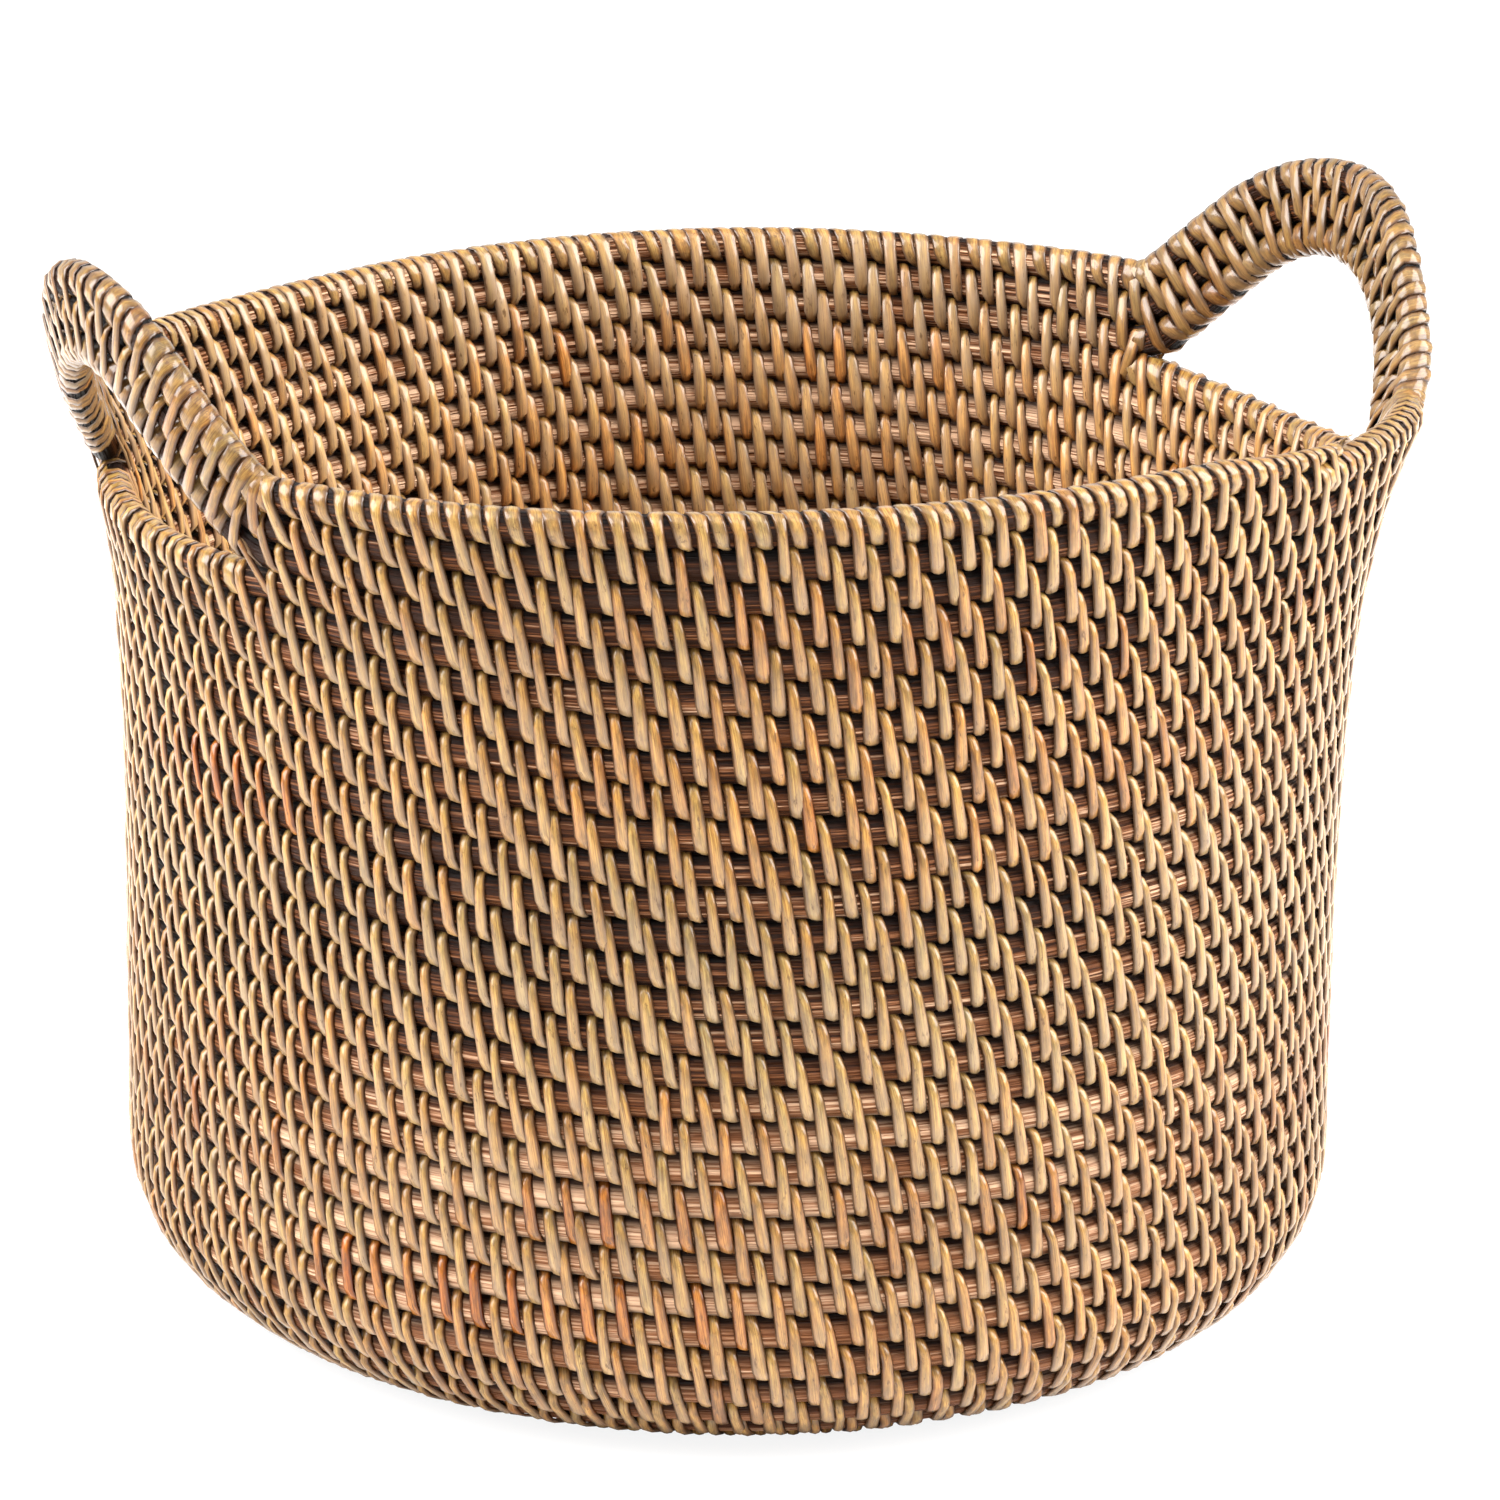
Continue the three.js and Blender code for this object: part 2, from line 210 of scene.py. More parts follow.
def thickness(turn):
    """Share of the full thickness: less where the coil starts, and least where it ends on the rim."""
    start = START_SHARE + (1 - START_SHARE) * np.clip(turn - START_TURN, 0, 1)
    end = np.clip((END_TURN - turn) * TAU * rim_radius / END_TAPER, 0, 1)
    return start * (END_SHARE + (1 - END_SHARE) * end)


def reach(turn):
    """How far a place on the coil is from the course below it."""
    return np.linalg.norm(lay(turn)[0] - lay(turn - 1)[0], axis=-1)


def tallness(turn):
    """Share by which the bundle is taller where the courses lie further apart, so that they touch.

    It is the mean distance to the courses above and below, where they are near enough, over the
    pitch, within limits.
    """
    below, above = reach(turn), reach(turn + 1)
    has_below = (below < LONGEST_REACH) & (turn > INNERMOST_TURNS)
    has_above = (above < LONGEST_REACH) & (turn > INNERMOST_TURNS) & (turn < LAST_TURN)
    known = has_below.astype(float) + has_above
    total = np.where(has_below, below, 0) + np.where(has_above, above, 0)
    mean = np.where(known > 0, total / np.maximum(known, 1), PITCH)
    return np.clip(mean / PITCH, LEAST_TALL, MOST_TALL)


def above_ground(points):
    """Presses flat what would reach under the floor: a softened larger one of the height and zero."""
    points[..., 2] = GROUND_SOFTNESS * np.logaddexp(0, points[..., 2] / GROUND_SOFTNESS)
    return points


def frames(turn):
    """Centre, outward, upward and forward directions of the coil at each turn, square to each other.

    Forward is the step from just behind a place to just ahead of it, and upward, towards the next
    course, is outward crossed with forward.
    """
    centre, normal = lay(turn)
    ahead = lay(turn + SHORT_STEP)[0] - lay(turn - SHORT_STEP)[0]
    ahead /= np.linalg.norm(ahead, axis=-1, keepdims=True)
    up = np.cross(normal, ahead)
    up /= np.linalg.norm(up, axis=-1, keepdims=True)
    return centre, np.cross(ahead, up), up, ahead


def put_mesh(name, points, faces, caps, attributes, material, nodes=()):
    """A mesh on the basket, from points in millimetres, faces of four corners and caps of three.

    The attributes are vectors, one for each point.
    """
    mesh = bpy.data.meshes.new(name)
    flat = (above_ground(points.reshape(-1, 3)) * MILLIMETRE).astype(np.float32)
    loops = np.concatenate([faces.ravel(), caps.ravel()]).astype(np.int32)
    starts = np.concatenate([np.arange(len(faces)) * 4, faces.size + np.arange(len(caps)) * 3])
    mesh.vertices.add(len(flat))
    mesh.vertices.foreach_set("co", flat.ravel())
    mesh.loops.add(len(loops))
    mesh.loops.foreach_set("vertex_index", loops)
    mesh.polygons.add(len(starts))
    mesh.polygons.foreach_set("loop_start", starts.astype(np.int32))
    for label, values in attributes.items():
        layer = mesh.attributes.new(label, "FLOAT_VECTOR", "POINT")
        layer.data.foreach_set("vector", values.reshape(-1, 3).astype(np.float32).ravel())
    mesh.update(calc_edges=True)
    mesh.validate()
    mesh.shade_smooth()
    mesh.materials.append(material)
    piece = bpy.data.objects.new(name, mesh)
    bpy.context.scene.collection.objects.link(piece)
    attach(piece, "root")
    if nodes:
        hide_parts(*nodes)


def tube_faces(rings, sides):
    """Faces between neighbouring rings of points, ring after ring, each ring closed on itself."""
    here, side = np.arange(rings - 1)[:, None] * sides, np.arange(sides)[None, :]
    after, beside = here + sides, (side + 1) % sides
    return np.stack([here + side, here + beside, after + beside, after + side], -1).reshape(-1, 4)


def end_caps(rings, sides):
    """Three-cornered faces that close the first and last ring, each as a fan from its first point."""
    fan = np.arange(1, sides - 1)
    first = np.stack([0 * fan, fan + 1, fan], -1)
    last = (rings - 1) * sides + np.stack([0 * fan, fan, fan + 1], -1)
    return np.concatenate([first, last])


def node_adder(tree):
    """A helper that adds a node to a tree.

    It takes the node's settings and fixed inputs by name or number, and what is linked to its
    inputs by name, or by number with an i before it.
    """
    def add(kind, settings=None, **links):
        node = tree.nodes.new(kind)
        for key, value in (settings or {}).items():
            if isinstance(key, str) and hasattr(node, key):
                setattr(node, key, value)
            else:
                node.inputs[key].default_value = value
        for key, source in links.items():
            numbered = key[0] == "i" and key[1:].isdigit()
            tree.links.new(source, node.inputs[int(key[1:]) if numbered else key])
        return node

    return add


def fresh_material(name, roughness):
    """An empty surface: the material, its node tree, its shader and a helper that adds nodes."""
    material = bpy.data.materials.new(name)
    material.use_nodes = True
    tree = material.node_tree
    shader = tree.nodes["Principled BSDF"]
    shader.inputs["Roughness"].default_value = roughness
    return material, tree, shader, node_adder(tree)


def ramp(add, factor, stops):
    """A colour ramp through the given (place, colour) stops."""
    node = add("ShaderNodeValToRGB", i0=factor)
    elements = node.color_ramp.elements
    while len(elements) < len(stops):
        elements.new(0.5)
    for element, (place, colour) in zip(elements, stops):
        element.position = place
        element.color = (*colour, 1)
    return node.outputs["Color"]


def pattern(add, vector, repeats, detail=2.0, roughness=0.5):
    """Noise on a vector, repeated by its own number along each of the vector's three directions."""
    drawn = add("ShaderNodeMapping", {"Scale": repeats}, Vector=vector)
    return add("ShaderNodeTexNoise", {"Scale": 1.0, "Detail": detail, "Roughness": roughness},
               Vector=drawn.outputs["Vector"]).outputs["Fac"]


def tinted(add, colour, tint):
    """One colour times another."""
    node = add("ShaderNodeMix", {"data_type": "RGBA", "blend_type": "MULTIPLY", 0: 1.0})
    node.id_data.links.new(colour, node.inputs[6])
    node.id_data.links.new(tint, node.inputs[7])
    return node.outputs[2]


# Colours of the splints, and the painted shade on them from the groove below a course to the one above:
# darkest in the two grooves, most on the upper side
SPLINT_DARKEST, SPLINT_BROWN = (0.023, 0.0062, 0.0012), (0.120, 0.036, 0.0095)
SPLINT_PINK, SPLINT_PALE = (0.270, 0.112, 0.048), (0.720, 0.460, 0.290)
SPLINT_GROOVE_SHADE = (
    (0.04, (0.05, 0.05, 0.05)), (0.20, (0.75, 0.75, 0.75)), (0.50, (1.0, 1.0, 1.0)),
    (0.72, (0.55, 0.52, 0.50)), (0.90, (0.06, 0.05, 0.05)))
# Repeats of each pattern along the coil, per millimetre, and round it
ROD_REPEATS, FIBRE_REPEATS, PATCH_REPEATS = (0.03, 6.2, 6.2), (0.05, 14, 14), (0.014, 0.7, 0.7)
# What patches, rods, the grooves between rods and fibres do to the lightness
PATCH_LIGHT, ROD_LIGHT, GROOVE_LIGHT, FIBRE_LIGHT = 0.9, 0.55, -0.85, 1.3
ROD_MIDDLE, SPLINT_DARKER = -0.585, 0.075
SPLINT_RELIEF = 0.0007
splint, tree, shader, add = fresh_material("brown_splints", 0.34)
shader.inputs["Specular IOR Level"].default_value = 0.10
lie = add("ShaderNodeAttribute", {"attribute_name": "fibre"}).outputs["Vector"]
tone = add("ShaderNodeAttribute", {"attribute_name": "tone"}).outputs["Vector"]
toned = add("ShaderNodeSeparateXYZ", Vector=tone)
rods = add("ShaderNodeMapping", {"Scale": ROD_REPEATS}, Vector=lie)
rod = add("ShaderNodeTexVoronoi", {"Scale": 1.0}, Vector=rods.outputs["Vector"])
rod_colour = add("ShaderNodeSeparateColor", i0=rod.outputs["Color"])
fibres = pattern(add, lie, FIBRE_REPEATS, 3.0, 0.65)
patches = pattern(add, lie, PATCH_REPEATS)
patched = add("ShaderNodeMath", {"operation": "MULTIPLY_ADD", 1: PATCH_LIGHT},
              i0=patches, i2=toned.outputs["X"])
rod_tone = add("ShaderNodeMath", {"operation": "MULTIPLY_ADD", 1: ROD_LIGHT, 2: ROD_MIDDLE},
               i0=rod_colour.outputs["Red"])
grooved = add("ShaderNodeMath", {"operation": "MULTIPLY_ADD", 1: GROOVE_LIGHT},
              i0=rod.outputs["Distance"], i2=rod_tone.outputs["Value"])
streaked = add("ShaderNodeMath", {"operation": "MULTIPLY_ADD", 1: FIBRE_LIGHT},
               i0=fibres, i2=grooved.outputs["Value"])
level = add("ShaderNodeMath", {"operation": "MULTIPLY_ADD"},
            i0=streaked.outputs["Value"], i1=toned.outputs["Y"], i2=patched.outputs["Value"])
darkened = add("ShaderNodeMath", {"operation": "SUBTRACT", 1: SPLINT_DARKER}, i0=level.outputs["Value"])
colour = ramp(add, darkened.outputs["Value"], (
    (0.10, SPLINT_DARKEST), (0.40, SPLINT_BROWN), (0.66, SPLINT_PINK), (0.95, SPLINT_PALE)))
# Painted shade: the splints get darker towards the grooves under and over each course
section = add("ShaderNodeSeparateXYZ", Vector=lie)
height = add("ShaderNodeMapRange", {1: -1.0, 2: 1.0, 3: 0.0, 4: 1.0}, i0=section.outputs["Z"])
groove_shade = ramp(add, height.outputs["Result"], SPLINT_GROOVE_SHADE)
tree.links.new(tinted(add, colour, groove_shade), shader.inputs["Base Color"])
raised = add("ShaderNodeMath", {"operation": "SUBTRACT"}, i0=fibres, i1=rod.outputs["Distance"])
relief = add("ShaderNodeBump", {"Strength": 1.0, "Distance": SPLINT_RELIEF}, Height=raised.outputs["Value"])
tree.links.new(relief.outputs["Normal"], shader.inputs["Normal"])

CORE_OUT, CORE_UP = 4.35, 4.95
CORE_SIDES = 14
CORE_STEPS, ARCH_STEPS = 96, 300
# The bundle is thicker and thinner in turn: share of its thickness, waves and start
SWELLS = ((0.02, 61, 0), (0.015, 23.7, 2))
# Each cane's patterns lie this much further on for each turn that it starts later
PATTERN_SHIFT = 1000
# Painted light and shade on the splints: lighter on the side facing into the basket, darker on the side
# facing out, and darker in the handles' arches
SPLINT_SIDE_PAINTED_LIGHT, HANDLE_PAINTED_SHADE = 0.30, 0.55
# Lightness and contrast of the splints at some turns, and evenly from one to the next
CORE_LIGHT = ((0, 20, 24, 28, 33, 38, 41, 45), (0.24, 0.49, 0.46, 0.31, 0.20, 0.20, 0.10, 0.00))
CORE_CONTRAST = ((0, 20, 24, 29, 33), (0.6, 0.5, 0.55, 0.85, 1.0))
# Where the splints or the strands have another colour: turn, courses and degrees that it spreads
# over, change of the splints' lightness, of the peel's colour from green to orange, and of its wear
COLOUR_PATCHES = (
    (35.545, 0.4, 13, 0.0, 5.6, 0.0), (21.630, 0.4, 24, 0.1, 4.8, 0.0), (21.2, 2.4, 45, 0.42, 0.9, 0.0),
    (23.6, 2.8, 50, 0.40, 0.2, 0.0), (26.7, 2.5, 50, 0.18, 0.0, 0.0), (31.7, 3.2, 45, 0.0, -1.1, 0.0),
    (29.8, 2.5, 40, 0.0, -0.8, 0.0), (33.6, 1.5, 30, 0.0, -0.6, 0.0), (40.7, 1.2, 22, 0.22, 0.8, 0.0),
    (39.2, 2.2, 45, 0.22, 0.9, 0.0), (39.05, 1.6, 40, 0.22, 1.2, 0.0), (36.8, 2.5, 35, 0.14, 0.8, 0.0),
    (24.9, 2.0, 40, 0.18, 0.6, 0.0), (15.5, 3.0, 170, 0.05, 0.4, 0.0), (31.83, 4.5, 26, 0.26, 0.0, 0.0),
    (30.53, 5.0, 30, -0.2, 0.0, 0.0), (38.6, 3.5, 26, 0.16, 0.0, 0.0), (36.7, 4.0, 38, -0.06, 1.2, -0.1),
    (22.7, 2.5, 50, 0.0, 0.8, 0.0), (31.54, 13.0, 45, 0.0, 0.0, 0.25), (31.86, 14.0, 36, 0.1, 0.0, 0.35))


def patch_shift(turn):
    """Changes of lightness, colour and wear at each turn.

    For each patch it is a bell over the courses times a bell round the basket.
    """
    core, hue, worn = np.zeros_like(turn), np.zeros_like(turn), np.zeros_like(turn)
    for centre, courses, degrees, lift, shift, wear in COLOUR_PATCHES:
        off = turn - centre
        course = np.round(off)
        weight = np.exp(-(course / courses) ** 2 - ((off - course) * 360 / degrees) ** 2)
        core += lift * weight
        hue += shift * weight
        worn += wear * weight
    return core, hue, worn


def lay_core(name, first, last, steps, nodes):
    """A tube round the coil's centre. Its section is an ellipse, a little taller than it is deep."""
    turn = np.linspace(first, last, int((last - first) * steps) + 2)
    centre, out, up, _ = frames(turn)
    angle = np.arange(CORE_SIDES) * TAU / CORE_SIDES
    uneven = np.ones_like(turn)
    for share, waves, start in SWELLS:
        uneven += share * np.sin(turn * waves + start)
    size = (thickness(turn) * uneven)[:, None, None]
    tall = CORE_UP * tallness(turn)[:, None, None] * up[:, None]
    ring = size * (CORE_OUT * np.cos(angle)[:, None] * out[:, None] + np.sin(angle)[:, None] * tall)
    gone = np.cumsum(np.linalg.norm(np.diff(centre, axis=0), axis=1))
    length = np.concatenate([[0], gone]) + first * PATTERN_SHIFT
    fibre = np.stack(np.broadcast_arrays(length[:, None], np.cos(angle), np.sin(angle)), -1)
    # The splints are painted darker in the arches and on their outer side, and painted lighter on their
    # inner side
    light = np.interp(turn, *CORE_LIGHT) + patch_shift(turn)[0] - HANDLE_PAINTED_SHADE * (arch_of(turn)[0] >= 0)
    light = light[:, None] - SPLINT_SIDE_PAINTED_LIGHT * np.cos(angle)
    contrast = np.interp(turn, *CORE_CONTRAST)[:, None]
    tone = np.stack(np.broadcast_arrays(light, contrast, 0), -1)
    put_mesh(name, centre[:, None] + ring, tube_faces(len(turn), CORE_SIDES),
             end_caps(len(turn), CORE_SIDES), {"fibre": fibre, "tone": tone}, splint, nodes)


CORNER_TURN, WALL_TURN, HANDLE_TURN = 14.48, 20.45, 41.8
floor_nodes = [f"floor_cane_{k}" for k in (1, 2)]
corner_nodes = [f"corner_cane_{k}" for k in (1, 2, 3)]
wall_nodes = [f"wall_cane_{k}" for k in range(1, 7)]
handle_nodes = [f"handle_cane_{k}" for k in (1, 2, 3)]
lay_core("floor_coil", START_TURN, CORNER_TURN, CORE_STEPS, floor_nodes)
lay_core("corner_coil", CORNER_TURN, WALL_TURN, CORE_STEPS, corner_nodes)
lay_core("wall_coil", WALL_TURN, HANDLE_TURN, CORE_STEPS, wall_nodes)
lay_core("handle_coil", HANDLE_TURN, END_TURN, ARCH_STEPS, handle_nodes)

# The long stitches.
# A strip of glossy rattan peel, 3.8 mm wide, is wound round each course and the one below it and
# sews them together. It goes on to the next stitch between the courses, half a stitch over from
# the course before. Its flat side lies on the coil and its bark side is crowned.
WORK_SEED, LONG_SEED, SHORT_SEED = 20, 5, 6
rng = np.random.default_rng(WORK_SEED)
# Stitches in a full turn, each from a turn onwards, and how many more an arch has than its width
STITCH_ZONES = ((0.0, 4.5), (1.1, 6.5), (1.6, 9.5), (2.3, 13.5), (3.25, 18.5), (4.6, 26.5), (6.5, 37.5),
                (9.2, 52.5), (12.2, 74.5), (15.4, 105.49))
ARCH_EXTRA = 7
LAST_MARK = HANDLE_TURN + 9
MARK_DIGITS, MARK_ERROR = 9, 1e-9
STRIP_WIDTH, STRIP_CROWN, STRIP_STAND = 3.8, 0.74, 0.18
# A strip's crowned outline from edge to edge, in shares of half its width and of its crown
SECTION = np.array([(-1.0, 0.0), (-0.70, 0.70), (0.0, 1.05), (0.70, 0.70), (1.0, 0.0)])
LONG_RINGS = np.array([
    # course (1 is the upper), angle round it, share of a stitch gone by, width, crown
    (1, 74, -0.225, 0.98, 1.4), (1, 40, -0.165, 0.93, 1.6), (1, 8, -0.105, 0.94, 1.3),
    (0.5, 0, -0.03, 1.0, 1.45), (0, -8, 0.045, 1.08, 1.2), (0, -42, 0.115, 1.10, 1.1),
    (0, -76, 0.215, 0.78, 0.85), (0, -112, 0.370, 0.80, 0.80), (0, -160, 0.410, 1.1, 1.0),
    (0.5, 180, 0.490, 1.1, 1.5), (1, 150, 0.610, 1.05, 1.0), (1, 112, 0.700, 0.95, 0.80)])
SHORT_RINGS = np.array([
    # angle round the course, share of a stitch gone by, width
    (72, -0.245, 1.14), (38, -0.165, 1.04), (0, -0.090, 1.0), (-38, -0.030, 0.90), (-72, 0.070, 0.70),
    (-110, 0.270, 0.72), (-145, 0.400, 0.90), (180, 0.500, 1.0), (145, 0.590, 1.0), (110, 0.670, 1.10)])
# Errors of hand in a stitch's place, width and height, as shares of a stitch and of its size
LONG_ERRORS, SHORT_ERRORS = (0.055, 0.07, 0.10), (0.045, 0.07, 0.08)
# The error of place differs at the two ends of a stitch's outer side and of its inner side, and
# changes evenly over the rings between them
OUTER_RINGS = 7
outer, inner = np.linspace(0, 1, OUTER_RINGS), np.linspace(0, 1, len(LONG_RINGS) - OUTER_RINGS)
loose_shares = np.zeros((4, len(LONG_RINGS)))
loose_shares[:2, :OUTER_RINGS], loose_shares[2:, OUTER_RINGS:] = (1 - outer, outer), (1 - inner, inner)
# How far each ring of a long stitch is on top of the course, and behind it, and how worn it is
rings_of_stitch = np.arange(len(LONG_RINGS))
on_top = np.interp(rings_of_stitch, (0, 2, 9, 11), (1, 0, 0, 1))
behind = np.interp(rings_of_stitch, (6, 8, 11), (0, 1, 0))
ring_wear = np.interp(rings_of_stitch, (0, 2, 4, 6, 9, 11), (0.1, 0.1, 0.6, 0.9, 1.0, 0.1))
# From here on no course lies above: long stitches spread and flatten on top, and wraps are narrower
BARE_FROM = END_TURN - 1.02
BARE_WIDER, BARE_FLATTER, RIM_NARROWER = 0.34, 0.62, 0.82
ARCH_WIDER, ARCH_FLATTER, ARCH_DARKER, ARCH_REDDER, ARCH_LESS_WORN = 0.12, 0.30, 4.0, 1.2, 0.6
# Stitches get narrower where there is less room than this many widths, down to a least share
ROOM_NEEDED, LEAST_WIDTH = 2.05, 0.6
# Painted light and shade on the peel: paler where it lies inside the wall, and darker on top of the last
# course and on each wrap's side towards the next course
INNER_PAINTED_LIGHT, TOP_PAINTED_SHADE = 16.0, 2.5
WRAP_WEAR, WRAP_FRESHER = 0.35, 0.3
# Peel in one stitch, and stitches that one strand of peel lasts
LOOP_LENGTH = 47.0
STRANDS, LEAST_STITCHES, MOST_STITCHES = 400, 50, 110
# Spread of colour and lightness from strand to strand, and from stitch to stitch
STRAND_HUES, STRAND_LIGHTS, STITCH_HUES, STITCH_LIGHTS = 0.6, 1, 0.4, 0.45

zone_turns = [turn for turn, _ in STITCH_ZONES] + [LAST_MARK]
arch_turns = [
    FIRST_OVER + handle[0] / 360 + course + side * half_span(handle)[0] / rim_radius / TAU
    for handle in HANDLES for course in range(HANDLE_COURSES) for side in (-1, 1)]
marks = sorted(set(np.round(zone_turns + arch_turns, MARK_DIGITS)))
count_steps, count_values = [0.0], [0.0]
for start, end in zip(marks[:-1], marks[1:]):
    rate = [stitches for turn, stitches in STITCH_ZONES if turn <= start + MARK_ERROR][-1]
    in_arch = arch_of((start + end) / 2)[0] >= 0
    count_steps.append(end)
    count_values.append(count_values[-1] + rate * (end - start) + (ARCH_EXTRA if in_arch else 0))


def count_at(turn):
    """Stitches from the start to a turn: the sum over the zones of stitches per turn times turns."""
    return np.interp(turn, count_steps, count_values)


def turn_at(count):
    """The turn at which a number of stitches is reached."""
    return np.interp(count, count_values, count_steps)


def first_after(turn):
    """The first whole stitch after a turn."""
    return int(count_at(turn)) + 1


RATE_STEPS = 100
stitch_rates = np.gradient(count_at(np.arange(0, WHOLE_TURNS + 2, 1 / RATE_STEPS)), 1 / RATE_STEPS)
# The first long stitch is this many turns from the start of the coil
SEWN_FROM = 1.55
floor_first = first_after(START_TURN + SEWN_FROM)
corner_first, wall_first, handle_first = (first_after(t) for t in (CORNER_TURN, WALL_TURN, HANDLE_TURN))


def strip(turn, upper, angle, width, crown):
    """Points of a strip's section where it passes each place: a crowned outline, five points wide.

    The place is on the ellipse round the coil, or round the course below, at an angle from outward
    towards the upper course. The section stands on the ellipse's own outward direction there.
    """
    turn, upper, angle, width, crown = np.broadcast_arrays(turn, upper, angle, width, crown)
    centre, out, up, ahead = frames(turn)
    low = frames(turn - 1)[0]
    gap = centre - low
    far = np.linalg.norm(gap, axis=-1, keepdims=True)
    up = np.where((upper[..., None] < 1) | (far < LONGEST_REACH), gap / far, up)
    out = out - up * np.sum(out * up, -1, keepdims=True)
    out /= np.linalg.norm(out, axis=-1, keepdims=True)
    share = (upper * thickness(turn) + (1 - upper) * thickness(turn - 1))[..., None]
    tall = CORE_UP * (upper * tallness(turn) + (1 - upper) * tallness(turn - 1))[..., None]
    base = low + upper[..., None] * gap
    cos, sin = np.cos(angle)[..., None], np.sin(angle)[..., None]
    face = cos / CORE_OUT * out + sin / tall * up
    face /= np.linalg.norm(face, axis=-1, keepdims=True)
    base = base + share * (CORE_OUT * cos * out + tall * sin * up)
    side, lift = SECTION[:, 0], SECTION[:, 1]
    sideways = side * STRIP_WIDTH / 2 * width[..., None]
    outwards = STRIP_STAND + lift * STRIP_CROWN * crown[..., None]
    points = base[..., None, :] + sideways[..., None] * ahead[..., None, :]
    return points + outwards[..., None] * face[..., None, :]


def strand_tones(counts, seed):
    """Colour, lightness and strand of each stitch: a strand of peel keeps nearly one colour."""
    draw = np.random.default_rng(seed)
    edges = np.cumsum(draw.integers(LEAST_STITCHES, MOST_STITCHES, STRANDS))
    strand = np.searchsorted(edges, counts)
    hue, light = draw.normal(0, STRAND_HUES, STRANDS + 1), draw.normal(0, STRAND_LIGHTS, STRANDS + 1)
    hue = hue[strand] + draw.normal(0, STITCH_HUES, len(counts)) + patch_shift(turn_at(counts))[1]
    light = light[strand] + draw.normal(0, STITCH_LIGHTS, len(counts))
    return hue[:, None], light[:, None], strand[:, None]


def strip_run(points, length, strand, hue, light, wear):
    """A run of stitches, ring after ring: points, places on the strip and tones.

    A place is the length along the strand, the side and the strand's number. A tone is the colour,
    the lightness and the wear.
    """
    length, strand, hue, light, wear = (
        np.broadcast_to(values, points.shape[:2]).reshape(-1, 1)
        for values in (length, strand, hue, light, wear))
    side = SECTION[:, 0] * STRIP_WIDTH / 2
    place = np.stack(np.broadcast_arrays(length, side, strand), -1)
    tone = np.stack(np.broadcast_arrays(hue, light, wear, side)[:3], -1)
    return points.reshape(-1, len(SECTION), 3), place, tone


def long_stitches(first, last):
    """The strand that sews each course to the one below, from one stitch to another.

    A ring's width is its own times an error of hand times the share of the room that there is, and
    more where it is bare on top or in an arch. Its crown is its own times an error, and lower there.
    """
    counts = np.arange(first, last)
    upper, degrees, phase, width, crown = LONG_RINGS.T
    place_error, width_error, height_error = LONG_ERRORS
    loose = rng.normal(0, place_error, (len(counts), len(loose_shares))) @ loose_shares
    turn = turn_at(counts[:, None] + phase + loose)
    own_width = 1 + rng.normal(0, width_error, (len(counts), 1))
    own_height = 1 + rng.normal(0, height_error, (len(counts), 1))
    foremost = turn[:, :1]
    rate = stitch_rates[(np.clip(foremost, 0, WHOLE_TURNS + 1) * RATE_STEPS).astype(int)]
    narrow = np.clip(TAU * foremost * PITCH / rate / (ROOM_NEEDED * STRIP_WIDTH), LEAST_WIDTH, 1)
    bare = (turn > BARE_FROM) * on_top
    in_arch = arch_of(turn)[0] >= 0
    points = strip(turn, upper, np.radians(degrees),
                   width * own_width * narrow * (1 + BARE_WIDER * bare + ARCH_WIDER * in_arch),
                   crown * own_height * (1 - np.maximum(BARE_FLATTER * bare, ARCH_FLATTER * in_arch)))
    hue, light, strand = strand_tones(counts, LONG_SEED)
    # Painted light on the inner side of the wall, and painted shade on top of the last course
    light = light + np.where(counts[:, None] < handle_first, INNER_PAINTED_LIGHT, 0) * behind
    light = light - ARCH_DARKER * in_arch - TOP_PAINTED_SHADE * on_top * (turn > LAST_TURN)
    wear = (ring_wear + patch_shift(turn)[2]) * (1 - ARCH_LESS_WORN * in_arch)
    length = (counts[:, None] + rings_of_stitch / len(LONG_RINGS)) * LOOP_LENGTH
    return strip_run(points, length, strand, hue + ARCH_REDDER * in_arch, light, wear)


def short_wraps(first, last, offset, spread, crown):
    """The strand wound round one course only, set over from the stitches by a share of a stitch.

    A ring's width is its own times the spread times an error of hand, and less on the plain rim.
    """
    counts = np.arange(first, last)
    degrees, phase, width = SHORT_RINGS.T
    angle, rings = np.radians(degrees), len(SHORT_RINGS)
    place_error, width_error, height_error = SHORT_ERRORS
    loose = np.repeat(rng.normal(0, place_error, (len(counts), 2)), rings // 2, axis=1)
    turn = turn_at(counts[:, None] + offset + phase + loose)
    own_width = spread * (1 + rng.normal(0, width_error, (len(counts), 1)))
    own_height = 1 + rng.normal(0, height_error, (len(counts), 1))
    in_arch = arch_of(turn)[0] >= 0
    own_width = own_width * np.where((turn > BARE_FROM) & ~in_arch, RIM_NARROWER, 1)
    points = strip(turn, 1.0, angle, width * own_width, crown * own_height)
    hue, light, strand = strand_tones(counts, SHORT_SEED)
    # Painted shade: a wrap is darker on its side towards the next course, which on the rim is its top
    light = light - TOP_PAINTED_SHADE * np.clip(np.sin(angle), 0, 1) - ARCH_DARKER * in_arch
    wear = WRAP_WEAR - WRAP_FRESHER * np.sin(angle)
    length = (counts[:, None] + np.arange(rings) / rings) * LOOP_LENGTH
    return strip_run(points, length, strand, hue + ARCH_REDDER * in_arch, light, wear)


